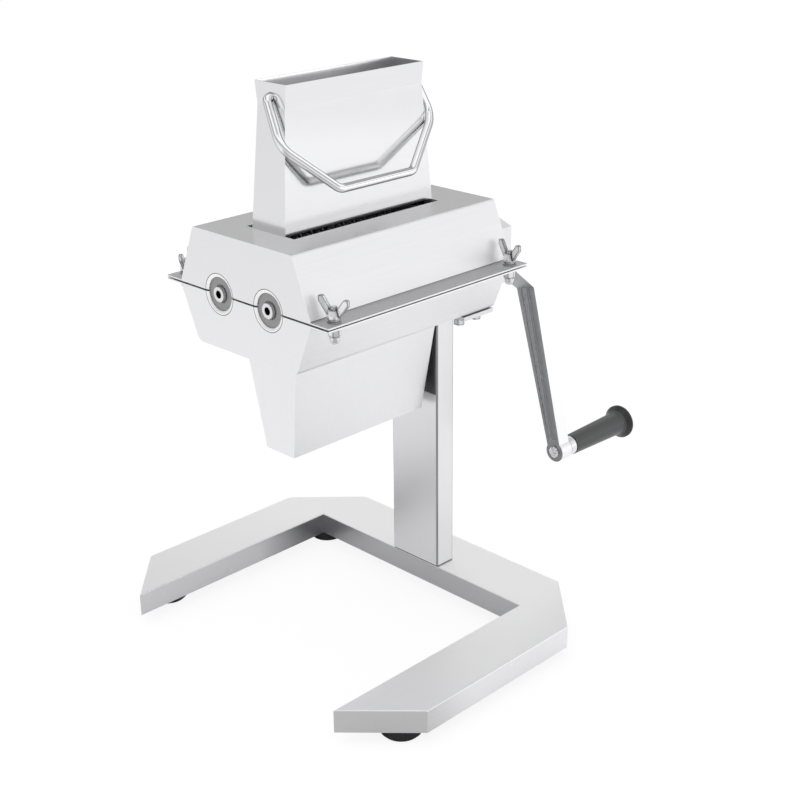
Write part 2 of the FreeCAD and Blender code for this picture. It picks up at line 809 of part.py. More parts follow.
def small_screws(label, x, side, spacing, grip):
    """Make four domed screws that come up through the housing floor."""
    screws = piece(label, x=x, y="-" + side, z="floor_height")
    turned(screws, [
        ("-screw_head_height", "0"),
        ("-screw_head_height", "screw_head_radius - screw_head_bevel"),
        ("screw_head_bevel - screw_head_height", "screw_head_radius"),
        ("0", "screw_head_radius"),
        ("0", "small_screw_radius"),
        (grip, "small_screw_radius"),
        (grip, "0"),
    ], "Z_Axis")
    repeat(screws, "X_Axis", spacing, "2", "Y_Axis", "2 * " + side)


small_screws("chute_screws", "head_front + chute_place - chute_screw_spacing / 2", "chute_screw_side",
             "chute_screw_spacing", chute_rim + " + 2 * chute_sheet")
small_screws("comb_screws", "head_front + comb_foot_place", "comb_foot_side", "comb_foot_spacing",
             "shell_sheet + comb_foot_thickness")

# Cover fasteners: four studs through both flanges, cap nuts below, washers and wing nuts above

stud_home = {"x": "head_front + stud_end_inset", "y": "-stud_side", "z": "axis_height"}

studs = piece("flange_studs", **stud_home)
shank = sketch(studs, "XY_Plane", "dome_start")
circle(shank, "stud_radius")
pad(studs, shank, "nut_seat + wing_hub_height + stud_stand_out - dome_start")

caps = piece("cap_nuts", **stud_home)
outline = sketch(caps, "XY_Plane", "-cover_face")
hexagon(outline, "cap_nut_width")
pad(caps, outline, "cap_nut_height", way=-1)
steps = int(value_of("cap_dome_steps"))
turned(caps, [("dome_start", "0"), ("dome_start", "cap_dome_radius")] + [
    ("dome_start - dome_straight - cap_dome_radius * sin(90 * %d / cap_dome_steps)" % step,
     "cap_dome_radius * cos(90 * %d / cap_dome_steps)" % step) for step in range(steps + 1)
], "Z_Axis")
bore = sketch(caps, "XY_Plane", "-cover_face")
circle(bore, "stud_radius + thread_play")
cut(caps, bore, "cap_nut_height + thread_play", way=-1)

washers = piece("flat_washers", **stud_home)
outline = sketch(washers, "XY_Plane", "cover_face")
circle(outline, "flat_washer_radius")
circle(outline, "stud_radius + hole_play")
pad(washers, outline, "flat_washer_thickness")

springs = piece("spring_washers", **stud_home)
outline = sketch(springs, "XY_Plane", "cover_face + flat_washer_thickness")
circle(outline, "spring_washer_radius")
circle(outline, "stud_radius + hole_play")
pad(springs, outline, "spring_washer_thickness")
slit = sketch(springs, "YZ_Plane")
low = "cover_face + flat_washer_thickness"
polygon(slit, [
    ("-spring_washer_slit", low),
    ("0", low),
    ("spring_washer_slit", low + " + spring_washer_thickness"),
    ("0", low + " + spring_washer_thickness"),
])
cut(springs, slit, "flat_washer_radius")

for body in (studs, caps, washers, springs):
    repeat(body, "X_Axis", "stud_row", "2", "Y_Axis", "2 * stud_side")

ear_side = value_of("wing_span") / 4
for corner in ("front_right", "front_left", "rear_right", "rear_left"):
    x_place = "head_front + stud_end_inset" if "front" in corner else "head_rear - stud_end_inset"
    side = "-stud_side" if "right" in corner else "stud_side"
    wing = piece("wing_nut_" + corner, x_place, side, "axis_height + nut_seat", "0; 0; 1",
                 "wing_turn_" + corner)
    turned(wing, [
        ("0", "stud_radius + thread_play"),
        ("0", "wing_hub_radius"),
        ("wing_hub_height / 3", "wing_hub_radius"),
        ("wing_hub_height", "wing_hub_top_radius"),
        ("wing_hub_height", "stud_radius + thread_play"),
    ], "Z_Axis")
    leaves = sketch(wing, "XZ_Plane")
    leaf = [
        ("stud_radius + thread_play", "wing_root_height / 2"),
        ("wing_root", "wing_root_height"),
        ("wing_span / 2", "wing_height - wing_tip_height"),
        ("wing_span / 2", "wing_height"),
        ("wing_span / 2 - wing_tip_width", "wing_height"),
        ("stud_radius + thread_play", "wing_hub_height - wing_root_height / 2"),
    ]
    polygon(leaves, leaf)
    polygon(leaves, [("-(%s)" % across, up) for across, up in leaf])
    pad(wing, leaves, "wing_thickness", middle=True)
    rounded(wing, "wing_tip_radius", lambda edge: runs(edge, "y") and abs(edge.CenterOfMass.x) > ear_side)

# Bushes: flanged plastic sleeves that carry the shafts in the end walls

for where in ("front", "rear"):
    bush = piece(where + "_bushes", x="head_front", y="-roller_offset", z="axis_height")
    stations = ["(bush_recess + nose_ring_depth)", "bush_recess", "end_wall", "(end_wall + bush_flange)"]
    if where == "rear":
        stations = ["head_length - %s" % station for station in stations]
    ring, face, wall, back = stations
    turned(bush, [
        (ring, "journal_radius + running_clearance"),
        (ring, "nose_ring_radius"),
        (face, "nose_ring_radius"),
        (face, "bush_radius"),
        (wall, "bush_radius"),
        (wall, "bush_flange_radius"),
        (back, "bush_flange_radius"),
        (back, "journal_radius + running_clearance"),
    ])
    repeat(bush, "Y_Axis", "2 * roller_offset")

# Rollers: a hexagon shaft with toothed blade discs and spacers, and a gear keyed on behind the rear wall


def roller(name, side, shift, phase, shaft_end):
    """Make one roller on its own axis, with its blades shifted along the shaft."""
    home = {"x": "head_front", "y": side + "roller_offset", "z": "axis_height"}

    shaft = piece(name + "_shaft", **home)
    journal = sketch(shaft, "YZ_Plane", "shaft_nose")
    circle(journal, "journal_radius")
    pad(shaft, journal, shaft_end + " - shaft_nose")
    grips = sketch(shaft, "YZ_Plane", "hexagon_start")
    hexagon(grips, "hexagon_width")
    pad(shaft, grips, "hexagon_end - hexagon_start")
    centre = sketch(shaft, "YZ_Plane", "shaft_nose")
    circle(centre, "centre_hole_radius")
    cut(shaft, centre, "centre_hole_depth")
    keyway = sketch(shaft, "YZ_Plane", "gear_place + (gear_width - key_length) / 2")
    rectangle(keyway, "-key_width / 2", "key_width / 2", "journal_radius - key_width / 2",
              "journal_radius + key_width / 2")
    cut(shaft, keyway, "key_length")

    blades = piece(name + "_blades", **home)
    disc = sketch(blades, "YZ_Plane", "first_blade + %s - blade_thickness / 2" % shift)
    circle(disc, "blade_radius")
    hexagon(disc, "hexagon_width + 2 * hexagon_play")
    pad(blades, disc, "blade_thickness")
    notch = sketch(blades, "YZ_Plane", "first_blade + %s - blade_thickness / 2" % shift)
    polygon(notch, [
        ("0", "blade_radius - gullet_depth"),
        ("gullet_width / 2", "blade_radius"),
        ("0", "blade_radius + gullet_depth"),
        ("-gullet_width / 2", "blade_radius"),
    ])
    gullet = cut(blades, notch, "blade_thickness")
    spin(blades, [gullet], "blade_teeth")
    repeat(blades, "X_Axis", "blade_row", "blade_count")

    spacers = piece(name + "_spacers", **home)
    ring = sketch(spacers, "YZ_Plane", "first_blade + %s + blade_thickness / 2" % shift)
    circle(ring, "spacer_radius")
    hexagon(ring, "hexagon_width + 2 * hexagon_play")
    pad(spacers, ring, "blade_pitch - blade_thickness")
    repeat(spacers, "X_Axis", "blade_row - blade_pitch", "blade_count - 1")
    for start, end in (("hexagon_start", "first_blade + %s - blade_thickness / 2" % shift),
                       ("first_blade + %s + blade_row + blade_thickness / 2" % shift, "hexagon_end")):
        ring = sketch(spacers, "YZ_Plane", start)
        circle(ring, "spacer_radius")
        hexagon(ring, "hexagon_width + 2 * hexagon_play")
        pad(spacers, ring, "%s - (%s)" % (end, start))

    gear = piece(name + "_gear", x="head_front + gear_place", y=home["y"], z="axis_height")
    blank = sketch(gear, "YZ_Plane")
    circle(blank, "tip_radius")
    pad(gear, blank, "gear_width")
    space = sketch(gear, "YZ_Plane")
    flank = [("root_radius", "base_turn"), ("base_radius", "base_turn"), ("roller_offset", "pitch_turn"),
             ("tip_radius", "tip_turn"), ("(tip_radius + overrun)", "tip_turn")]
    corners = [("%s * cos(%s + %s)" % (radius, phase, turn), "%s * sin(%s + %s)" % (radius, phase, turn))
               for radius, turn in flank]
    corners += [("%s * cos(%s - %s)" % (radius, phase, turn), "%s * sin(%s - %s)" % (radius, phase, turn))
                for radius, turn in reversed(flank)]
    polygon(space, corners)
    tooth_space = cut(gear, space, "gear_width")
    spin(gear, [tooth_space], "gear_teeth")
    bore = sketch(gear, "YZ_Plane")
    circle(bore, "journal_radius + running_clearance")
    cut(gear, bore)
    slot_for_key = sketch(gear, "YZ_Plane")
    rectangle(slot_for_key, "-key_width / 2 - key_play", "key_width / 2 + key_play", "0",
              "journal_radius + key_width / 2 + key_play")
    cut(gear, slot_for_key, "gear_width")

    key = piece(name + "_gear_key", x="head_front + gear_place + (gear_width - key_length) / 2", y=home["y"],
                z="axis_height")
    block = sketch(key, "YZ_Plane")
    rectangle(block, "-key_width / 2", "key_width / 2", "journal_radius - key_width / 2",
              "journal_radius + key_width / 2")
    pad(key, block, "key_length")
    return shaft


drive_shaft = roller("drive", "-", "0", "0", "hub_place")
driven_shaft = roller("driven", "", "blade_pitch / 2", "180 * (1 + 1 / gear_teeth)",
                      "(gear_place + gear_width + gear_gap)")

square = sketch(drive_shaft, "YZ_Plane", "hub_place")
polygon(square, [("square_width / 2 * (%d * cos(crank_rest) + %d * sin(crank_rest))" % (left, up),
                  "square_width / 2 * (%d * cos(crank_rest) - %d * sin(crank_rest))" % (up, left))
                 for left, up in ((1, 1), (-1, 1), (-1, -1), (1, -1))])
pad(drive_shaft, square, "hub_length - end_play")
thread = sketch(drive_shaft, "YZ_Plane", "hub_place")
circle(thread, "crank_stud_radius")
pad(drive_shaft, thread, "hub_length + crank_washer_thickness + crank_nut_height + bolt_stand_out")

# Stripping combs: fingers between the discs clear the meat off, on a bar screwed to the housing floor


def comb(label, out):
    """Make the comb of one roller, on the side away from the other roller."""
    rake = piece(label, x="head_front", y=out + "roller_offset", z="axis_height")

    def at(radius, half):
        across = "%s(%s * cos(comb_drop) - %s * sin(comb_drop))" % (out, radius, half)
        up = "0 - %s * sin(comb_drop) - %s * cos(comb_drop)" % (radius, half)
        return across, up

    bar = sketch(rake, "YZ_Plane", "first_blade - blade_pitch / 2 - comb_finger / 2")
    polygon(bar, [at("comb_near", "comb_half"), at("comb_far", "comb_half"),
                  at("comb_far", "(0 - comb_half)"), at("comb_near", "(0 - comb_half)")])
    pad(rake, bar, "blade_row + 1.5 * blade_pitch + comb_finger")
    shift = "0" if out == "-" else "blade_pitch / 2"
    tooth = sketch(rake, "YZ_Plane", "first_blade + %s - blade_pitch / 2 - comb_finger / 2" % shift)
    polygon(tooth, [at("comb_start", "comb_half / 2"), at("(comb_near + overrun)", "comb_half"),
                    at("(comb_near + overrun)", "(0 - comb_half)"), at("comb_start", "(0 - comb_half / 2)")])
    finger = pad(rake, tooth, "comb_finger")
    repeat(rake, "X_Axis", "blade_row + blade_pitch", "blade_count + 1", features=[finger])

    inner = "(comb_foot_side - roller_offset - comb_foot_width / 2)"
    outer = "(comb_foot_side - roller_offset + comb_foot_width / 2)"
    feet = sketch(rake, "YZ_Plane", "comb_foot_place - comb_foot_length / 2")
    polygon(feet, [(out + inner, "-floor_face"), (out + outer, "-floor_face"),
                   (out + outer, "comb_foot_thickness - floor_face"),
                   (out + inner, "comb_foot_thickness - floor_face")])
    sole = pad(rake, feet, "comb_foot_length")
    web = sketch(rake, "YZ_Plane", "comb_foot_place + comb_foot_length / 2 - comb_foot_thickness")
    polygon(web, [(out + inner, "-floor_face"), (out + outer, "-floor_face"), at("comb_far", "comb_half"),
                  at("(comb_near + overrun)", "comb_half")])
    strut = pad(rake, web, "comb_foot_thickness")
    repeat(rake, "X_Axis", "comb_foot_spacing", "2", features=[sole, strut])
    holes = sketch(rake, "XY_Plane", "-floor_face")
    for x_place in ("comb_foot_place", "comb_foot_place + comb_foot_spacing"):
        circle(holes, "small_screw_radius + thread_play", x_place, out + "(comb_foot_side - roller_offset)")
    cut(rake, holes, "2 * comb_foot_thickness")


comb("right_comb", "-")
comb("left_comb", "")

# Gear case: a folded cover over the gears, held by two long screws through spacing pillars

case = piece("gear_case", x="head_rear", z="axis_height")
outline = sketch(case, "YZ_Plane")
case_corners = [("gear_case_width / 2", "gear_case_side"), ("case_flat", "gear_case_top")]
upper = case_corners + [("-" + across, up) for across, up in reversed(case_corners)]
polygon(outline, upper + [(across, "-" + up) for across, up in reversed(upper)])
pad(case, outline, "gear_case_depth")
hollow(case, "shell_sheet", lambda face: abs(face.CenterOfMass.x) < closeness)
holes = sketch(case, "YZ_Plane", "gear_case_depth")
circle(holes, "journal_radius + case_hole_play", "-roller_offset")
circle(holes, "case_screw_radius + hole_play", "0", "gear_case_screw_height")
circle(holes, "case_screw_radius + hole_play", "0", "-gear_case_screw_height")
cut(case, holes, "2 * shell_sheet", way=-1)

pillars = piece("gear_case_pillars", x="head_rear", z="axis_height - gear_case_screw_height")
outline = sketch(pillars, "YZ_Plane")
circle(outline, "pillar_radius")
circle(outline, "case_screw_radius + hole_play")
pad(pillars, outline, "gear_case_depth - shell_sheet")
repeat(pillars, "Z_Axis", "2 * gear_case_screw_height")

screws = piece("gear_case_screws", x="head_rear + gear_case_depth", z="axis_height - gear_case_screw_height")
turned(screws, [
    ("-gear_case_depth - end_wall", "0"),
    ("-gear_case_depth - end_wall", "case_screw_radius"),
    ("0", "case_screw_radius"),
    ("0", "case_screw_head_radius"),
    ("case_screw_head_height / 2", "case_screw_head_radius"),
    ("case_screw_head_height", "case_screw_head_radius - case_screw_head_height / 2"),
    ("case_screw_head_height", "0"),
])
repeat(screws, "Z_Axis", "2 * gear_case_screw_height")

# Crank: a cast arm that steps outwards from its hub, on the square end of the drive shaft

crank_home = {
    "x": "head_front + hub_place",
    "y": "-roller_offset",
    "z": "axis_height",
    "axis": "1; 0; 0",
    "turn": "-crank_rest",
}
arm = piece("crank_arm", **crank_home)
side_view = sketch(arm, "XZ_Plane")
polygon(side_view, [
    ("0", "0"),
    ("0", "-slope_start"),
    ("crank_offset", "-kink_drop"),
    ("crank_offset", "-crank_radius"),
    ("arm_face", "-crank_radius"),
    ("arm_face", "miter - kink_drop"),
    ("arm_thickness", "miter - slope_start"),
    ("arm_thickness", "0"),
])
pad(arm, side_view, "2 * hub_radius", middle=True)
trims = sketch(arm, "YZ_Plane")
for side in ("", "-"):
    polygon(trims, [
        (side + "hub_radius", "overrun"),
        (side + "arm_width / 2", "-kink_drop"),
        (side + "arm_tip_width / 2", "-crank_radius"),
        (side + "arm_tip_width / 2", "-crank_radius - overrun"),
        (side + "(hub_radius + overrun)", "-crank_radius - overrun"),
        (side + "(hub_radius + overrun)", "overrun"),
    ])
cut(arm, trims)
hub = sketch(arm, "YZ_Plane")
circle(hub, "hub_radius")
pad(arm, hub, "hub_length")
boss = sketch(arm, "YZ_Plane", "crank_offset")
circle(boss, "boss_radius", "0", "-crank_radius")
pad(arm, boss, "arm_thickness")
channel = sketch(arm, "YZ_Plane", "crank_offset")
polygon(channel, [
    ("arm_width / 2 - channel_left_rim", "-kink_drop"),
    ("channel_right_rim - arm_width / 2", "-kink_drop"),
    ("channel_right_rim - arm_tip_width / 2", "channel_end - crank_radius"),
    ("arm_tip_width / 2 - channel_left_rim_at_tip", "channel_end - crank_radius"),
])
cut(arm, channel, "channel_depth")
groove = sketch(arm, "YZ_Plane", "crank_offset")
polygon(groove, [
    ("arm_width / 2 - rim_middle + groove_width / 2", "-kink_drop"),
    ("arm_width / 2 - rim_middle - groove_width / 2", "-kink_drop"),
    ("arm_tip_width / 2 - rim_middle_at_tip - groove_width / 4", "channel_end - crank_radius"),
    ("arm_tip_width / 2 - rim_middle_at_tip + groove_width / 4", "channel_end - crank_radius"),
])
cut(arm, groove, "groove_depth")
holes = sketch(arm, "YZ_Plane")
circle(holes, "pin_radius + running_clearance", "0", "-crank_radius")
rectangle(holes, "-square_width / 2 - square_play", "square_width / 2 + square_play",
          "-square_width / 2 - square_play", "square_width / 2 + square_play")
cut(arm, holes)

washer = piece("crank_washer", **crank_home)
outline = sketch(washer, "YZ_Plane", "hub_length")
circle(outline, "crank_washer_radius")
circle(outline, "crank_stud_radius + hole_play")
pad(washer, outline, "crank_washer_thickness")

nut = piece("crank_nut", **crank_home)
outline = sketch(nut, "YZ_Plane", "hub_length + crank_washer_thickness")
hexagon(outline, "crank_nut_width")
circle(outline, "crank_stud_radius + thread_play")
pad(nut, outline, "crank_nut_height")

# Grip: a plastic handle that turns on a headed pin, between a collar and a round nut in its end

grip_home = dict(crank_home)
grip_home["y"] = "-roller_offset - crank_radius * sin(crank_rest)"
grip_home["z"] = "axis_height - crank_radius * cos(crank_rest)"

pin = piece("grip_pin", **grip_home)
turned(pin, [
    ("crank_offset - pin_head_height", "0"),
    ("crank_offset - pin_head_height", "pin_head_radius / 2"),
    ("crank_offset - pin_head_height / 3", "pin_head_radius"),
    ("crank_offset", "pin_head_radius"),
    ("crank_offset", "pin_radius"),
    ("grip_start + grip_length - grip_recess + end_play + grip_nut_height", "pin_radius"),
    ("grip_start + grip_length - grip_recess + end_play + grip_nut_height", "0"),
])

collar = piece("grip_collar", **grip_home)
turned(collar, [
    ("arm_face", "pin_radius + running_clearance"),
    ("arm_face", "collar_radius - collar_bevel"),
    ("arm_face + collar_bevel", "collar_radius"),
    ("arm_face + collar_length - collar_bevel", "collar_radius"),
    ("arm_face + collar_length", "collar_radius - collar_bevel"),
    ("arm_face + collar_length", "pin_radius + running_clearance"),
])

grip = piece("crank_grip", **grip_home)
turned(grip, [
    ("grip_start", "pin_radius + running_clearance"),
    ("grip_start", "grip_near_radius"),
    ("grip_start + grip_length - 2 * grip_flange", "grip_far_radius"),
    ("grip_start + grip_length - grip_flange", "grip_flange_radius - grip_flange_bevel"),
    ("grip_start + grip_length - grip_flange + grip_flange_bevel", "grip_flange_radius"),
    ("grip_start + grip_length - grip_flange_bevel", "grip_flange_radius"),
    ("grip_start + grip_length", "grip_flange_radius - grip_flange_bevel"),
    ("grip_start + grip_length", "grip_recess_radius"),
    ("grip_start + grip_length - grip_recess", "grip_recess_radius"),
    ("grip_start + grip_length - grip_recess", "pin_radius + running_clearance"),
])

grip_nut = piece("grip_nut", **grip_home)
turned(grip_nut, [
    ("grip_start + grip_length - grip_recess + end_play", "pin_radius + thread_play"),
    ("grip_start + grip_length - grip_recess + end_play", "grip_nut_radius"),
    ("grip_start + grip_length - grip_recess + end_play + grip_nut_height", "grip_nut_radius"),
    ("grip_start + grip_length - grip_recess + end_play + grip_nut_height", "pin_radius + thread_play"),
])

# Hopper: a folded sheet funnel that stands in the feed slot, waisted below its mouth

hopper = piece("hopper", x="head_front + feed_place", z="top_height")
hopper_sections = [
    ("hopper_foot_length", "hopper_foot_width", "0"),
    ("hopper_neck_length", "hopper_neck_width", "neck_height"),
    ("hopper_mouth_length", "hopper_mouth_width", "hopper_height"),
]
lofted(hopper, "AdditiveLoft", hopper_sections)
lofted(hopper, "SubtractiveLoft",
       [(length + " - 2 * hopper_sheet", width + " - 2 * hopper_sheet", height)
        for length, width, height in hopper_sections])
tongues = sketch(hopper, "XY_Plane", "tongue_rise")
rectangle(tongues, "-tongue_place", "hopper_sheet - tongue_place", "-tongue_half", "tongue_half")
rectangle(tongues, "tongue_place - hopper_sheet", "tongue_place", "-tongue_half", "tongue_half")
pad(hopper, tongues, "tongue_rise + tongue_depth", way=-1)
pivots = sketch(hopper, "YZ_Plane")
circle(pivots, "bail_wire / 2 + bail_hole_play", "0", "pivot_height")
cut(hopper, pivots)

# Bail: a bent wire that swings on its two ends, in holes in the hopper's end walls


def number(text):
    """Read a size name that may have a minus sign before it."""
    if text.startswith("-"):
        return -value_of(text[1:])
    return 0 if text == "0" else value_of(text)


def wire_path(body, role, corners, bends):
    """Draw an open line through corners, with an arc of its own radius at each inner corner."""
    drawing = sketch(body, role)
    spots = [Vector(number(across), number(up), 0) for across, up in corners]
    last = len(spots) - 1
    starts = [spots[0]]
    ends = []
    arcs = []
    for step in range(1, last):
        back = (spots[step - 1] - spots[step]).normalize()
        ahead = (spots[step + 1] - spots[step]).normalize()
        half = back.getAngle(ahead) / 2
        reach = number(bends[step - 1]) / math.tan(half)
        middle = spots[step] + (back + ahead).normalize() * (reach / math.cos(half) - reach * math.tan(half))
        ends.append(spots[step] + back * reach)
        starts.append(spots[step] + ahead * reach)
        arcs.append(Part.Arc(ends[-1], middle, starts[-1]))
    ends.append(spots[last])
    for start, end in zip(starts, ends):
        drawing.addGeometry(Part.LineSegment(start, end), False)
    for arc in arcs:
        drawing.addGeometry(arc, False)
    for step in range(1, last):
        mark = drawing.addGeometry(Part.Point(spots[step]), True)
        hold(drawing, "DistanceX", mark, 1, spots[step].x, corners[step][0])
        hold(drawing, "DistanceY", mark, 1, spots[step].y, corners[step][1])
        drawing.addConstraint(Sketcher.Constraint("PointOnObject", mark, 1, step - 1))
        drawing.addConstraint(Sketcher.Constraint("PointOnObject", mark, 1, step))
        bend = last + step - 1
        first_end = 1 if drawing.getPoint(bend, 1).distanceToPoint(ends[step - 1]) < closeness else 2
        drawing.addConstraint(Sketcher.Constraint("Tangent", step - 1, 2, bend, first_end))
        drawing.addConstraint(Sketcher.Constraint("Tangent", bend, 3 - first_end, step, 1))
        limit = drawing.addConstraint(Sketcher.Constraint("Radius", bend, number(bends[step - 1])))
        drawing.setExpression("Constraints[%d]" % limit, named(bends[step - 1]))
    for geometry, point, corner in ((0, 1, corners[0]), (last - 1, 2, corners[-1])):
        spot = drawing.getPoint(geometry, point)
        hold(drawing, "DistanceX", geometry, point, spot.x, corner[0])
        hold(drawing, "DistanceY", geometry, point, spot.y, corner[1])
    return drawing


bail = piece("bail_handle", x="head_front + feed_place", z="top_height + pivot_height", axis="1; 0; 0",
             turn="-bail_lean")
half_route = [("bail_end", "0"), ("bail_pivot_half", "0"), ("bail_shoulder_half", "-bail_shoulder_reach"),
              ("bail_bar_half", "-bail_reach")]
route = half_route + [("-" + across, up) for across, up in reversed(half_route)]
path = wire_path(bail, "XZ_Plane", route,
                 ["bail_pivot_bend", "bail_shoulder_bend", "bail_bar_bend",
                  "bail_bar_bend", "bail_shoulder_bend", "bail_pivot_bend"])
wire = sketch(bail, "YZ_Plane", "bail_end")
circle(wire, "bail_wire / 2")
doc.recompute()
pipe = bail.newObject("PartDesign::AdditivePipe", "AdditivePipe")
pipe.Profile = wire
pipe.Spine = (path, [])

# Checks, then one STEP file for each piece

doc.recompute()
broken = [item.Label for item in doc.Objects if "Invalid" in item.State or "Error" in item.State]
if broken:
    raise RuntimeError("failed: " + ", ".join(broken))
pieces = [item for item in doc.Objects if item.TypeId == "PartDesign::Body"]
for item in pieces:
    if item.Shape.isNull() or not item.Shape.isValid():
        raise RuntimeError("no valid shape: " + item.Label)
os.makedirs("parts", exist_ok=True)
for item in pieces:
    item.Shape.exportStep("parts/%s.step" % item.Label)
print(len(pieces), "pieces")
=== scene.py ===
import json
import math
import bpy
from mathutils import Matrix, Vector

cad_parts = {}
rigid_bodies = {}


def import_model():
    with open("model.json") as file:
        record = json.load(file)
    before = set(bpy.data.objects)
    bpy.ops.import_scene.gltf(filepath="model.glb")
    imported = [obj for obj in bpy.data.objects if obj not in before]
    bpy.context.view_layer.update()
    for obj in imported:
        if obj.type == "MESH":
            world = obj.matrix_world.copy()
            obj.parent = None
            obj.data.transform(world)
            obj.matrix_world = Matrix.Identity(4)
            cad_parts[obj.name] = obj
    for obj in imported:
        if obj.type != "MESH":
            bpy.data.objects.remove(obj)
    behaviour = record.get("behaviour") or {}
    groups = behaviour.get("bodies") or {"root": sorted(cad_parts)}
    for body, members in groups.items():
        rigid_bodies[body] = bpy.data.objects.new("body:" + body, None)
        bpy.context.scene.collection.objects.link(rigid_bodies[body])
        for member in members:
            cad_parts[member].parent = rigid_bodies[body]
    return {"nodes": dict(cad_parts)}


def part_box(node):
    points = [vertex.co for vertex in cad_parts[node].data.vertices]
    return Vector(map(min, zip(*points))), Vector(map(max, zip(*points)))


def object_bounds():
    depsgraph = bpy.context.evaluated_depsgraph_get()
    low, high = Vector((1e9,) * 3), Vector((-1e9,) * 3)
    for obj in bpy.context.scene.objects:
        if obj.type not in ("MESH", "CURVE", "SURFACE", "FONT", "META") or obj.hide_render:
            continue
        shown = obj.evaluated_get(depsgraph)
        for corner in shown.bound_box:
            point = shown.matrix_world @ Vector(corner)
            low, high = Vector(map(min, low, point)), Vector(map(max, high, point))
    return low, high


for leftover in list(bpy.data.objects):
    bpy.data.objects.remove(leftover)
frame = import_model()
cad_low, cad_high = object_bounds()
nodes = frame["nodes"]


# Base tray
# A U-shaped tray folded from 2 mm stainless sheet, its corners welded and ground flush.
# The sheet keeps the satin grain of the belt along each leg, and its folded edges are slightly round.

def sockets(group, inputs, outputs):
    """Open the named inputs and outputs of a node group."""
    for name, kind, value in inputs:
        socket = group.interface.new_socket(name, in_out="INPUT", socket_type="NodeSocket" + kind)
        socket.default_value = value
    for name, kind in outputs:
        group.interface.new_socket(name, in_out="OUTPUT", socket_type="NodeSocket" + kind)


def joined(tree, maker, values=(), **links):
    """Add one node to a tree, set its plain values and link its inputs by name, or by number after at_."""
    node = tree.nodes.new(maker)
    for name, value in dict(values).items():
        if hasattr(node, name):
            setattr(node, name, value)
        else:
            node.inputs[name].default_value = value
    for name, source in links.items():
        tree.links.new(source, node.inputs[int(name[3:]) if name.startswith("at_") else name])
    return node


def ramped(tree, value, start, end, first=0, last=1):
    """Let a number run from first to last while a value runs from start to end."""
    limits = {"From Min": start, "From Max": end, "To Min": first, "To Max": last}
    return joined(tree, "ShaderNodeMapRange", limits, Value=value).outputs["Result"]


# The belt's grain: fine streaks along one direction, with the height that goes into the normal
belt_grain = bpy.data.node_groups.new("belt grain", "ShaderNodeTree")
sockets(belt_grain,
        [("Along", "Vector", (1, 1, 1)), ("Fineness", "Float", 900), ("Depth", "Float", 0.15)],
        [("Streak", "Float"), ("Normal", "Vector")])
inside = joined(belt_grain, "NodeGroupInput")
place = joined(belt_grain, "ShaderNodeTexCoord")
drawn = joined(belt_grain, "ShaderNodeVectorMath", {"operation": "MULTIPLY"},
               at_0=place.outputs["Object"], at_1=inside.outputs["Along"])
streak = joined(belt_grain, "ShaderNodeTexNoise", {"Detail": 3, "Roughness": 0.6},
                Vector=drawn.outputs[0], Scale=inside.outputs["Fineness"])
relief = joined(belt_grain, "ShaderNodeBump", {"Distance": 0.00005},
                Strength=inside.outputs["Depth"], Height=streak.outputs["Fac"])
joined(belt_grain, "NodeGroupOutput", Streak=streak.outputs["Fac"], Normal=relief.outputs["Normal"])

# Handling marks: broad soft patches where the surface was wiped and touched
wiped = bpy.data.node_groups.new("wiped patches", "ShaderNodeTree")
sockets(wiped, [("Size", "Float", 14)], [("Patch", "Float")])
inside = joined(wiped, "NodeGroupInput")
place = joined(wiped, "ShaderNodeTexCoord")
patch = joined(wiped, "ShaderNodeTexNoise", {"Detail": 4, "Roughness": 0.55, "Distortion": 0.6},
               Vector=place.outputs["Object"], Scale=inside.outputs["Size"])
joined(wiped, "NodeGroupOutput", Patch=patch.outputs["Fac"])

# Edges: a mask of the places where a small rolling radius turns the normal away from the face. It carries real
# wear on sheet and rubber, and painted dark reflections on bright steel
edge_wear_and_painted_reflection = bpy.data.node_groups.new("edge wear and painted reflection", "ShaderNodeTree")
sockets(edge_wear_and_painted_reflection, [("Radius", "Float", 0.0008)], [("Edge", "Float")])
inside = joined(edge_wear_and_painted_reflection, "NodeGroupInput")
rolled = joined(edge_wear_and_painted_reflection, "ShaderNodeBevel", {"samples": 4}, Radius=inside.outputs["Radius"])
flat = joined(edge_wear_and_painted_reflection, "ShaderNodeNewGeometry")
turned = joined(edge_wear_and_painted_reflection, "ShaderNodeVectorMath", {"operation": "DOT_PRODUCT"},
                at_0=rolled.outputs["Normal"], at_1=flat.outputs["Normal"])
joined(edge_wear_and_painted_reflection, "NodeGroupOutput", Edge=ramped(edge_wear_and_painted_reflection, turned.outputs["Value"], 0.999, 0.9))


def group_node(tree, group, **values):
    """Place a node group in a material with this material's values."""
    node = tree.nodes.new("ShaderNodeGroup")
    node.node_tree = group
    for name, value in values.items():
        node.inputs[name].default_value = value
    return node


def mixed(tree, low, high, share, kind="RGBA"):
    """Blend two colours or two values by a share that varies over the surface."""
    node = tree.nodes.new("ShaderNodeMix")
    node.data_type = kind
    # Where a Mix node keeps the two inputs and the result of each kind
    first, second, result = {"RGBA": (6, 7, 2), "FLOAT": (2, 3, 0)}[kind]
    tree.links.new(share, node.inputs[0])
    for socket, value in ((node.inputs[first], low), (node.inputs[second], high)):
        if isinstance(value, bpy.types.NodeSocket):
            tree.links.new(value, socket)
        else:
            socket.default_value = value
    return node.outputs[result]


def shade(tone, share=1):
    """A tone as a colour for a socket, made darker or lighter by a share."""
    return [min(1, channel * share) for channel in tone] + [1]


def empty_material(name):
    """A material with only its Principled shader, ready for its own nodes."""
    material = bpy.data.materials.new(name)
    material.use_nodes = True
    return material, material.node_tree


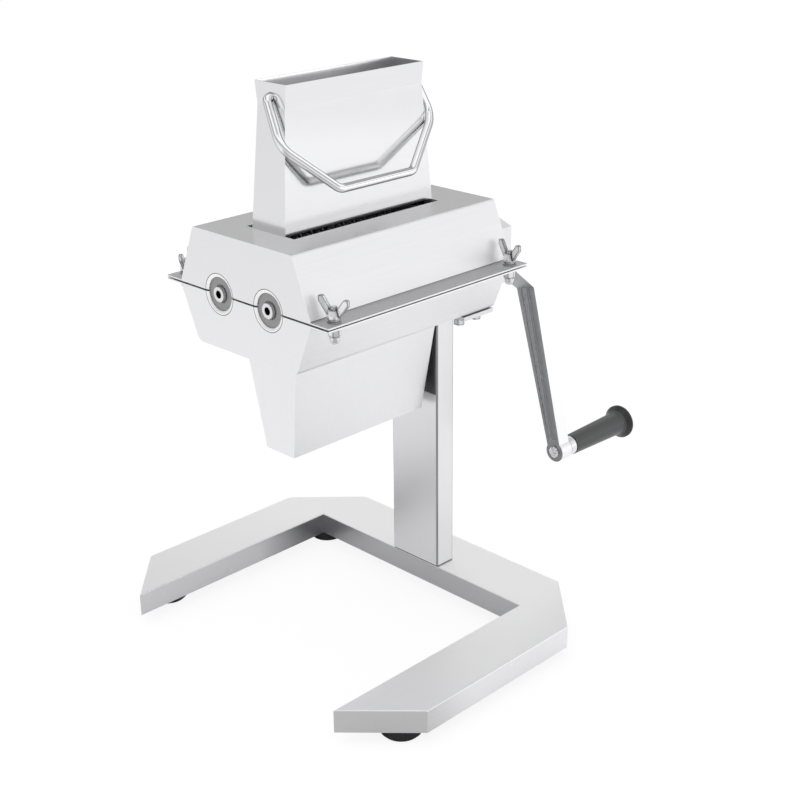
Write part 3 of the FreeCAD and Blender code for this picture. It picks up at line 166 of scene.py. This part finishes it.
def surfaced(tree, colour, smoothest, roughest, patches, grain):
    """Feed the shader with a colour, a roughness that varies in patches, and a fine relief."""
    shader = tree.nodes["Principled BSDF"]
    tree.links.new(colour, shader.inputs["Base Color"])
    tree.links.new(mixed(tree, smoothest, roughest, patches.outputs["Patch"], "FLOAT"),
                   shader.inputs["Roughness"])
    tree.links.new(grain.outputs["Normal"], shader.inputs["Normal"])
    return shader


def satin_sheet(name, tone, along, rough):
    """Stainless sheet with a belt grain that runs where the stretch vector is small."""
    material, tree = empty_material(name)
    grain = group_node(tree, belt_grain, Along=along, Fineness=700, Depth=0.12)
    patches = group_node(tree, wiped, Size=9)
    edges = group_node(tree, edge_wear_and_painted_reflection, Radius=0.0009)
    streaked = mixed(tree, shade(tone, 0.93), shade(tone), grain.outputs["Streak"])
    worn = mixed(tree, streaked, shade(tone, 1.04), edges.outputs["Edge"])
    surfaced(tree, worn, rough - 0.03, rough + 0.03, patches, grain).inputs["Metallic"].default_value = 1
    return material


def finish_node(name, material, edge=0.0003):
    """Give a CAD node its finish and break its sharp edges as a deburring tool does."""
    node = nodes[name]
    for slot in node.material_slots:
        slot.material = material
    if edge:
        weld = node.modifiers.new("closed seams", "WELD")
        weld.merge_threshold = 0.000002
        broken = node.modifiers.new("broken edges", "BEVEL")
        broken.width = edge
        broken.segments = 2
        broken.limit_method = "ANGLE"
        broken.angle_limit = math.radians(35)
        even = node.modifiers.new("even faces", "WEIGHTED_NORMAL")
        even.weight = 100


def above(tree, value, low, blur=0.0002):
    """Mark where a value lies above a bound."""
    return ramped(tree, value, low - blur, low)


def below(tree, value, high, blur=0.0002):
    """Mark where a value lies below a bound."""
    return ramped(tree, value, high + blur, high)


def band(tree, value, low, high, blur=0.0002):
    """Mark where a value lies between two bounds."""
    return both(tree, above(tree, value, low, blur), below(tree, value, high, blur))


def both(tree, first, second):
    """Mark where two masks hold together, or multiply two values."""
    return joined(tree, "ShaderNodeMath", {"operation": "MULTIPLY"}, at_0=first, at_1=second).outputs[0]


def inlaid(tree, name, value, mask):
    """Lay another colour or value over what already feeds a socket of the shader."""
    socket = tree.nodes["Principled BSDF"].inputs[name]
    kind = "RGBA" if socket.type == "RGBA" else "FLOAT"
    tree.links.new(mixed(tree, socket.links[0].from_socket, value, mask, kind), socket)


def toned(tree, tone, mask):
    """Lay another tone over the colour of the shader, here mostly painted light and shade."""
    inlaid(tree, "Base Color", shade(tone), mask)


def spots(tree):
    """The place of each spot on the piece, as X, Y and Z."""
    place = joined(tree, "ShaderNodeTexCoord")
    return joined(tree, "ShaderNodeSeparateXYZ", Vector=place.outputs["Object"]).outputs


def faces(tree):
    """The way each face looks, as X, Y and Z."""
    surface = joined(tree, "ShaderNodeNewGeometry")
    return joined(tree, "ShaderNodeSeparateXYZ", Vector=surface.outputs["True Normal"]).outputs


grain_in_x = (0.02, 1, 1)
base_sheet = satin_sheet("base sheet", (0.89, 0.89, 0.90), grain_in_x, 0.28)
finish_node("base_frame", base_sheet, 0)
tree = base_sheet.node_tree
spot, face = spots(tree), faces(tree)

# The inner face of the cross lies in shade in the photograph, and a darker tone stands for it
cross_near, cross_far = 0.008, 0.0125
cross_face = both(tree, band(tree, spot["X"], cross_near, cross_far),
                  below(tree, face["X"], -0.9, blur=0.05))
toned(tree, (0.50, 0.50, 0.51), cross_face)
# The inner faces of the legs lie in the same shade, which deepens towards the cross
leg_near, leg_far = 0.13, 0.17
dark_start, dark_end = -0.085, -0.02
leg_faces = band(tree, both(tree, spot["Y"], face["Y"]), -leg_far, -leg_near, blur=0.005)
toned(tree, (0.63, 0.63, 0.64), leg_faces)
toned(tree, (0.28, 0.28, 0.285), both(tree, leg_faces, ramped(tree, spot["X"], dark_start, dark_end)))
# The tops are more matt than the sides, and their tone rises towards the cross as the light does
tops = above(tree, face["Z"], 0.95, blur=0.05)
inlaid(tree, "Roughness", 0.46, tops)
leg_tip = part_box("base_frame")[0].x
toned(tree, (0.99, 0.99, 0.99), both(tree, tops, ramped(tree, spot["X"], leg_tip, 0)))
for pair in ("front", "rear"):
    finish_node(pair + "_foot_brackets", base_sheet, 0.0005)


# Feet
# Moulded rubber feet, matt black with a faint skin of dust, each held by a screw and a nut.
# The fasteners are bright stainless steel.

# Recesses: a mask of the inner corners, where small bright pieces get painted shade
recesses = bpy.data.node_groups.new("recesses", "ShaderNodeTree")
sockets(recesses, [("Reach", "Float", 0.003)], [("Hollow", "Float")])
inside = joined(recesses, "NodeGroupInput")
openness = joined(recesses, "ShaderNodeAmbientOcclusion", {"samples": 4, "only_local": True},
                  Distance=inside.outputs["Reach"])
joined(recesses, "NodeGroupOutput", Hollow=ramped(recesses, openness.outputs["AO"], 0.95, 0.6))


def bright_steel(name, tone, rough, fineness=1500, depth=0.05, reach=0.006, dark_share=0.08):
    """Turned or pressed stainless steel with fine tool lines, painted dark reflections along its edges and
    painted shade in its recesses.
    """
    material, tree = empty_material(name)
    grain = group_node(tree, belt_grain, Along=(1, 1, 0.05), Fineness=fineness, Depth=depth)
    patches = group_node(tree, wiped, Size=60)
    hollows = group_node(tree, recesses, Reach=reach)
    edges = group_node(tree, edge_wear_and_painted_reflection, Radius=reach / 5)
    # This dark tone is painted light: dark reflections along the edges and shade in the recesses
    painted_dark = shade(tone, dark_share)
    lined = mixed(tree, shade(tone, 0.85), shade(tone), grain.outputs["Streak"])
    outlined = mixed(tree, lined, painted_dark, edges.outputs["Edge"])
    recess_shaded = mixed(tree, outlined, painted_dark, hollows.outputs["Hollow"])
    surfaced(tree, recess_shaded, rough - 0.05, rough + 0.08, patches, grain).inputs["Metallic"].default_value = 1
    return material


def moulded(name, tone, rough, grit=2200, depth=0.25, mottle=0.8):
    """A moulded rubber or plastic skin: fine grit, faint mottling and lighter worn edges."""
    material, tree = empty_material(name)
    skin = group_node(tree, belt_grain, Along=(1, 1, 1), Fineness=grit, Depth=depth)
    patches = group_node(tree, wiped, Size=25)
    edges = group_node(tree, edge_wear_and_painted_reflection, Radius=0.0012)
    rubbed = [channel * 1.3 + 0.006 for channel in tone] + [1]
    spotted = mixed(tree, shade(tone, mottle), shade(tone), patches.outputs["Patch"])
    worn = mixed(tree, spotted, rubbed, edges.outputs["Edge"])
    surfaced(tree, worn, rough - 0.08, rough + 0.08, patches, skin)
    return material


small_edge = 0.0002
foot_rubber = moulded("foot rubber", (0.008, 0.008, 0.009), 0.62)
fastener_steel = bright_steel("fastener steel", (0.84, 0.84, 0.85), 0.12, reach=0.011, dark_share=0.03)
for pair in ("front", "rear"):
    finish_node(pair + "_feet", foot_rubber, 0)
    finish_node(pair + "_foot_screws", fastener_steel, small_edge)
    finish_node(pair + "_foot_nuts", fastener_steel, small_edge)


# Post and head plate
# A rectangular stainless tube stands on the tray, with a thick plate welded on its top.
# Four hexagon bolts go up through the plate into the housing floor.

grain_in_z = (1, 1, 0.02)
post_sheet = satin_sheet("post sheet", (0.84, 0.84, 0.85), grain_in_z, 0.32)
finish_node("column", post_sheet, 0)
tree = post_sheet.node_tree
spot, face = spots(tree), faces(tree)

# The broad front face is a little darker than the sides in the photograph's light
broad_face = below(tree, face["X"], -0.95, blur=0.05)
toned(tree, (0.74, 0.74, 0.75), broad_face)
# A dark tone stands for the chute's mirror image in the tube, down to the chute's lip
chute_lip = 0.236
below_head = 0.3
chute_mirror_zone = both(tree, broad_face, above(tree, spot["Z"], chute_lip, blur=0.001))
fading = ramped(tree, spot["Z"], chute_lip, below_head, 1, 0.4)
toned(tree, (0.13, 0.13, 0.13), both(tree, chute_mirror_zone, fading))
# The tube's rounded corners get painted shade, and a thin dark line runs round its foot
bent = joined(tree, "ShaderNodeMath", {"operation": "ABSOLUTE"}, at_0=both(tree, face["X"], face["Y"]))
toned(tree, (0.34, 0.34, 0.35), above(tree, bent.outputs[0], 0.2, blur=0.1))
post_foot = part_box("column")[0].z
foot_line_height = 0.001
toned(tree, (0.12, 0.12, 0.12), below(tree, spot["Z"], post_foot + foot_line_height))

plate_steel = satin_sheet("plate steel", (0.78, 0.78, 0.79), (1, 0.05, 1), 0.3)
finish_node("head_plate", plate_steel)
for part in ("head_plate_bolts", "head_plate_nuts"):
    finish_node(part, fastener_steel, small_edge)


# Head shells and chute
# The housing and the cover are folded from thinner sheet and meet in two wide flanges.
# Both keep a horizontal grain. The cover's flat top is smoother here, so that it mirrors the hopper.

shell_sheet = satin_sheet("shell sheet", (0.90, 0.90, 0.91), grain_in_x, 0.42)
cover_sheet = satin_sheet("cover sheet", (0.90, 0.90, 0.91), grain_in_x, 0.5)
chute_sheet = satin_sheet("chute sheet", (0.89, 0.89, 0.90), grain_in_z, 0.4)
finish_node("lower_housing", shell_sheet, small_edge)
finish_node("upper_cover", cover_sheet, small_edge)
finish_node("discharge_chute", chute_sheet, 0)
for part in ("chute_screws", "comb_screws"):
    finish_node(part, fastener_steel, small_edge)

# The cover's flat top is smoother than its sides, and a darker tone stands for what it mirrors
cover_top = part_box("upper_cover")[1].z
top_depth = 0.001
tree = cover_sheet.node_tree
spot, face = spots(tree), faces(tree)
level = above(tree, face["Z"], 0.98, blur=0.05)
top_panel = both(tree, level, above(tree, spot["Z"], cover_top - top_depth))
inlaid(tree, "Roughness", 0.25, top_panel)
toned(tree, (0.74, 0.74, 0.75), top_panel)
# Its flanges get painted shade, darker than its sides, and a dark line of painted shade runs in the crease at
# the foot of the slanted sides
flange_top = 0.3841
crease_foot, crease_top = flange_top + 0.0002, flange_top + 0.001
flange_face = both(tree, level, below(tree, spot["Z"], crease_top))
toned(tree, (0.54, 0.54, 0.55), flange_face)
long_sides = band(tree, face["X"], -0.5, 0.5, blur=0.05)
slanted_sides = both(tree, long_sides, band(tree, face["Z"], -0.1, 0.9, blur=0.05))
crease_line = band(tree, spot["Z"], crease_foot, crease_top)
toned(tree, (0.25, 0.25, 0.25), both(tree, crease_line, slanted_sides))

# Round each bush the end walls have a turned seat with a painted highlight and a thin dark line of painted
# shade at its edge, and the parting gets painted shade
roller_axis = (0.0345, 0.382)
seat_inside, seat_edge = 0.0166, 0.0195
dark_line_inside, dark_line_outside = seat_edge + 0.0001, seat_edge + 0.0005
parting_half = 0.0008


def roller_radius(tree):
    """How far a spot lies from the axis of the nearer roller."""
    spot = spots(tree)
    sideways = joined(tree, "ShaderNodeMath", {"operation": "ABSOLUTE"}, at_0=spot["Y"])
    offset = joined(tree, "ShaderNodeCombineXYZ", X=sideways.outputs[0], Y=spot["Z"])
    apart = joined(tree, "ShaderNodeVectorMath", {"operation": "DISTANCE"}, at_0=offset.outputs[0])
    apart.inputs[1].default_value = (*roller_axis, 0)
    return apart.outputs["Value"]


for sheet in (shell_sheet, cover_sheet):
    tree = sheet.node_tree
    spot, face = spots(tree), faces(tree)
    radius = roller_radius(tree)
    toned(tree, (0.97, 0.97, 0.97), band(tree, radius, seat_inside, seat_edge))
    toned(tree, (0.05, 0.05, 0.05), band(tree, radius, dark_line_inside, dark_line_outside))
    parting = band(tree, spot["Z"], roller_axis[1] - parting_half, roller_axis[1] + parting_half)
    toned(tree, (0.03, 0.03, 0.03), both(tree, parting, below(tree, face["X"], -0.6, blur=0.1)))


# Cover studs and nuts
# Four M6 studs clamp the flanges, with cap nuts below and washers and wing nuts on top.
# The wing nuts are pressed from stainless steel and polished by tumbling.

wing_steel = bright_steel("wing nut steel", (0.90, 0.90, 0.91), 0.1, fineness=400, depth=0.1,
                          reach=0.013, dark_share=0.02)
for part in ("flange_studs", "cap_nuts", "flat_washers", "spring_washers"):
    finish_node(part, fastener_steel, small_edge)
for end in ("front", "rear"):
    for side in ("right", "left"):
        finish_node("wing_nut_%s_%s" % (end, side), wing_steel)


# Bearing bushes and shafts
# Grey moulded bushes sit in the parting line, and the ground shaft ends show in their middle.

bush_plastic = moulded("bush plastic", (0.31, 0.31, 0.31), 0.5, grit=1500, depth=0.15)
for part in ("front_bushes", "rear_bushes"):
    finish_node(part, bush_plastic, small_edge)
shaft_steel = bright_steel("ground shaft", (0.84, 0.84, 0.85), 0.2)
# The middle of each shaft end, where the centre hole is, gets painted shade
centre_hole = 0.0035
tree = shaft_steel.node_tree
toned(tree, (0.02, 0.02, 0.02), below(tree, roller_radius(tree), centre_hole))
for part in ("drive_shaft", "driven_shaft", "drive_gear_key", "driven_gear_key"):
    finish_node(part, shaft_steel)


# Blades, spacers and combs
# Ground stainless discs with open teeth, white plastic spacers between them, and plastic combs.

blade_steel = bright_steel("blade steel", (0.60, 0.60, 0.61), 0.4, fineness=700, depth=0.12)
white_plastic = moulded("white plastic", (0.72, 0.72, 0.70), 0.42, grit=1800, depth=0.12, mottle=0.93)
for roller in ("drive", "driven"):
    finish_node(roller + "_blades", blade_steel, 0)
    finish_node(roller + "_spacers", white_plastic, 0)
for side in ("right", "left"):
    finish_node(side + "_comb", white_plastic)


# Gears and gear case
# Two spur gears of hardened steel turn behind a shallow pressed cover on four pillars.

gear_steel = bright_steel("gear steel", (0.42, 0.42, 0.43), 0.34, fineness=900, depth=0.15)
for roller in ("drive", "driven"):
    finish_node(roller + "_gear", gear_steel, small_edge)
case_sheet = satin_sheet("gear case sheet", (0.83, 0.83, 0.84), (1, 0.02, 1), 0.36)
finish_node("gear_case", case_sheet)
for part in ("gear_case_pillars", "gear_case_screws"):
    finish_node(part, fastener_steel, small_edge)


# Crank
# The arm is an investment casting with a groove along its face, blasted and then satin plated.
# It sits on the square end of the shaft under a washer and a nut.

cast_arm = moulded("cast arm", (0.32, 0.325, 0.33), 0.36, grit=900, depth=0.35, mottle=0.85)
tree = cast_arm.node_tree
tree.nodes["Principled BSDF"].inputs["Metallic"].default_value = 1
# The narrow sides get a painted highlight, much lighter than the face
narrow_sides = band(tree, faces(tree)["X"], -0.2, 0.2, blur=0.6)
toned(tree, (0.90, 0.90, 0.91), narrow_sides)
finish_node("crank_arm", cast_arm, 0.0012)
for part in ("crank_washer", "crank_nut", "grip_pin", "grip_nut"):
    finish_node(part, fastener_steel, small_edge)
collar_steel = bright_steel("collar steel", (0.86, 0.86, 0.87), 0.3)
finish_node("grip_collar", collar_steel, 0)

# The grip's end flange gets painted shade, darker than its body
grip_plastic = moulded("grip plastic", (0.055, 0.056, 0.058), 0.36, grit=1600, depth=0.12)
finish_node("crank_grip", grip_plastic, 0)
grip_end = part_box("crank_grip")[1].x
flange_width = 0.008
tree = grip_plastic.node_tree
toned(tree, (0.012, 0.012, 0.013), above(tree, spots(tree)["X"], grip_end - flange_width))


# Hopper and bail
# The hopper is a narrow funnel folded from the thinnest sheet, with a short standing rim.
# The bail is bent from 8 mm polished rod and hangs in two holes.

hopper_sheet = satin_sheet("hopper sheet", (0.85, 0.85, 0.86), grain_in_x, 0.14)
finish_node("hopper", hopper_sheet, 0)
tree = hopper_sheet.node_tree
spot, face = spots(tree), faces(tree)

# Inside, a darker tone stands for the shade, which is deepest in the rear corner
hopper_low, hopper_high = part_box("hopper")
hopper_middle = (hopper_low.x + hopper_high.x) / 2
wall_start = 0.004
corner_shade_start = hopper_high.x - 0.0045
end_start = hopper_high.x - 0.004
long_wall = both(tree, above(tree, spot["Y"], wall_start), below(tree, face["Y"], -0.6, blur=0.1))
darker = ramped(tree, spot["X"], hopper_middle, hopper_high.x, 0, 0.65)
toned(tree, (0.10, 0.10, 0.10), both(tree, long_wall, darker))
# The rear corner inside gets the deepest painted shade
toned(tree, (0.02, 0.02, 0.02), both(tree, long_wall, above(tree, spot["X"], corner_shade_start)))
end_wall = both(tree, above(tree, spot["X"], end_start), below(tree, face["X"], -0.6, blur=0.1))
toned(tree, (0.10, 0.10, 0.10), end_wall)

rod_steel = bright_steel("bail rod", (0.92, 0.92, 0.93), 0.1, fineness=500, depth=0.06)
rod_steel.node_tree.nodes["Principled BSDF"].inputs["Specular Tint"].default_value = (0.05, 0.05, 0.05, 1)
finish_node("bail_handle", rod_steel, 0)


# Studio
# A plain pale floor and white surroundings, a large soft box overhead and a softer one in front.

def blended(tree, share, first, second):
    """Blend two shaders by a share."""
    node = tree.nodes.new("ShaderNodeMixShader")
    for socket, source in zip(node.inputs, (share, first.outputs[0], second.outputs[0])):
        tree.links.new(source, socket)
    return node


def ways_along(tree, direction):
    """How far a spot of the floor lies along a direction."""
    surface = joined(tree, "ShaderNodeNewGeometry")
    node = joined(tree, "ShaderNodeVectorMath", {"operation": "DOT_PRODUCT"}, at_0=surface.outputs["Position"])
    node.inputs[1].default_value = direction
    return node.outputs["Value"]


floor_mesh = bpy.data.meshes.new("floor")
floor_reach = 6
floor_gap = 0.0002
corners = [(side * floor_reach, end * floor_reach, 0) for side, end in ((-1, -1), (1, -1), (1, 1), (-1, 1))]
floor_mesh.from_pydata(corners, [], [(0, 1, 2, 3)])
floor = bpy.data.objects.new("floor", floor_mesh)
bpy.context.scene.collection.objects.link(floor)
floor.location.z = cad_low.z - floor_gap
floor_paint = bpy.data.materials.new("pale floor")
floor_paint.use_nodes = True
tree = floor_paint.node_tree
tree.nodes.clear()
ray = joined(tree, "ShaderNodeLightPath")
# Reflections see a darker patch of floor in front of the machine, on the camera's side
to_front, to_side = (-0.705, -0.709, 0), (0.709, -0.705, 0)
sweep_end = both(tree, band(tree, ways_along(tree, to_front), 0.3, 3, blur=0.06),
                 band(tree, ways_along(tree, to_side), -0.4, 0.4, blur=0.25))
mirrored = both(tree, sweep_end, ray.outputs["Is Glossy Ray"])
tint = mixed(tree, (0.88, 0.88, 0.885, 1), (0.5, 0.5, 0.5, 1), mirrored)
chalk = joined(tree, "ShaderNodeBsdfDiffuse", Color=tint)
# To the camera it is nearly white, and keeps a faint shadow
glow = joined(tree, "ShaderNodeEmission", {"Color": (1, 1, 1, 1), "Strength": 1.02})
whiteness = ramped(tree, ray.outputs["Is Camera Ray"], 0, 1, 0, 0.86)
joined(tree, "ShaderNodeOutputMaterial", Surface=blended(tree, whiteness, chalk, glow).outputs[0])
floor_mesh.materials.append(floor_paint)

# Metal mirrors grey walls with a bright strip halfway up, and the camera sees plain white
world = bpy.data.worlds.new("studio")
bpy.context.scene.world = world
world.use_nodes = True
tree = world.node_tree
tree.nodes.clear()
ray = joined(tree, "ShaderNodeLightPath")
around = joined(tree, "ShaderNodeTexCoord")
upward = joined(tree, "ShaderNodeSeparateXYZ", Vector=around.outputs["Generated"])
walls = joined(tree, "ShaderNodeValToRGB", Fac=upward.outputs["Z"])
ramp = walls.color_ramp
ramp.elements[0].position = 0.08
ramp.elements[0].color = (0.69, 0.69, 0.695, 1)
ramp.elements[1].position = 0.17
ramp.elements[1].color = (0.36, 0.36, 0.36, 1)
for height, grey in ((0.33, 0.38), (0.42, 1.0), (0.6, 1.0), (0.7, 0.34), (0.9, 0.34)):
    ramp.elements.new(height).color = (grey, grey, grey, 1)
in_metal = joined(tree, "ShaderNodeBackground", {"Strength": 1.15}, Color=walls.outputs["Color"])
fill = joined(tree, "ShaderNodeBackground", {"Color": (1, 1, 1, 1), "Strength": 1})
white = joined(tree, "ShaderNodeBackground", {"Color": (1, 1, 1, 1), "Strength": 1})
light = blended(tree, ray.outputs["Is Glossy Ray"], fill, in_metal)
shown = blended(tree, ray.outputs["Is Camera Ray"], light, white)
joined(tree, "ShaderNodeOutputWorld", Surface=shown.outputs[0])

middle = Vector((0, 0, (cad_low.z + cad_high.z) / 2))


def soft_box(name, direction, distance, width, depth, energy):
    """A soft area lamp that faces the middle of the machine."""
    lamp = bpy.data.lights.new(name, "AREA")
    lamp.shape = "RECTANGLE"
    lamp.size = width
    lamp.size_y = depth
    lamp.energy = energy
    stand = bpy.data.objects.new(name, lamp)
    bpy.context.scene.collection.objects.link(stand)
    way = Vector(direction).normalized()
    stand.location = middle + way * distance
    stand.rotation_euler = way.to_track_quat("Z", "Y").to_euler()


soft_box("overhead box", (-0.1, -0.15, 1), distance=1.9, width=2.0, depth=2.0, energy=9)
soft_box("front box", (0.64, -0.85, 0.14), distance=3.6, width=2.9, depth=1.05, energy=9.8)

# The camera looks down on the open end of the base from the crank's side
azimuth = math.radians(-44.855)
elevation = math.radians(22.407)
roll = math.radians(-0.65)
distance = 1.4897
sensor = 36
focal_pixels = 1441.7
frame_pixels = 800
aim = Vector((-0.0084, 0, 0.2275))
back = Vector((math.sin(azimuth) * math.cos(elevation), -math.cos(azimuth) * math.cos(elevation),
               math.sin(elevation)))
level_right = Vector((0, 0, 1)).cross(back).normalized()
level_up = back.cross(level_right)
right = level_right * math.cos(roll) + level_up * math.sin(roll)
up = level_up * math.cos(roll) - level_right * math.sin(roll)
lens = bpy.data.cameras.new("camera")
lens.sensor_width = sensor
lens.lens = focal_pixels / frame_pixels * sensor
camera = bpy.data.objects.new("camera", lens)
bpy.context.scene.collection.objects.link(camera)
turn = Matrix((right, up, back)).transposed().to_4x4()
camera.matrix_world = Matrix.Translation(aim + back * distance) @ turn
bpy.context.scene.camera = camera
bpy.context.scene.view_settings.view_transform = "Standard"
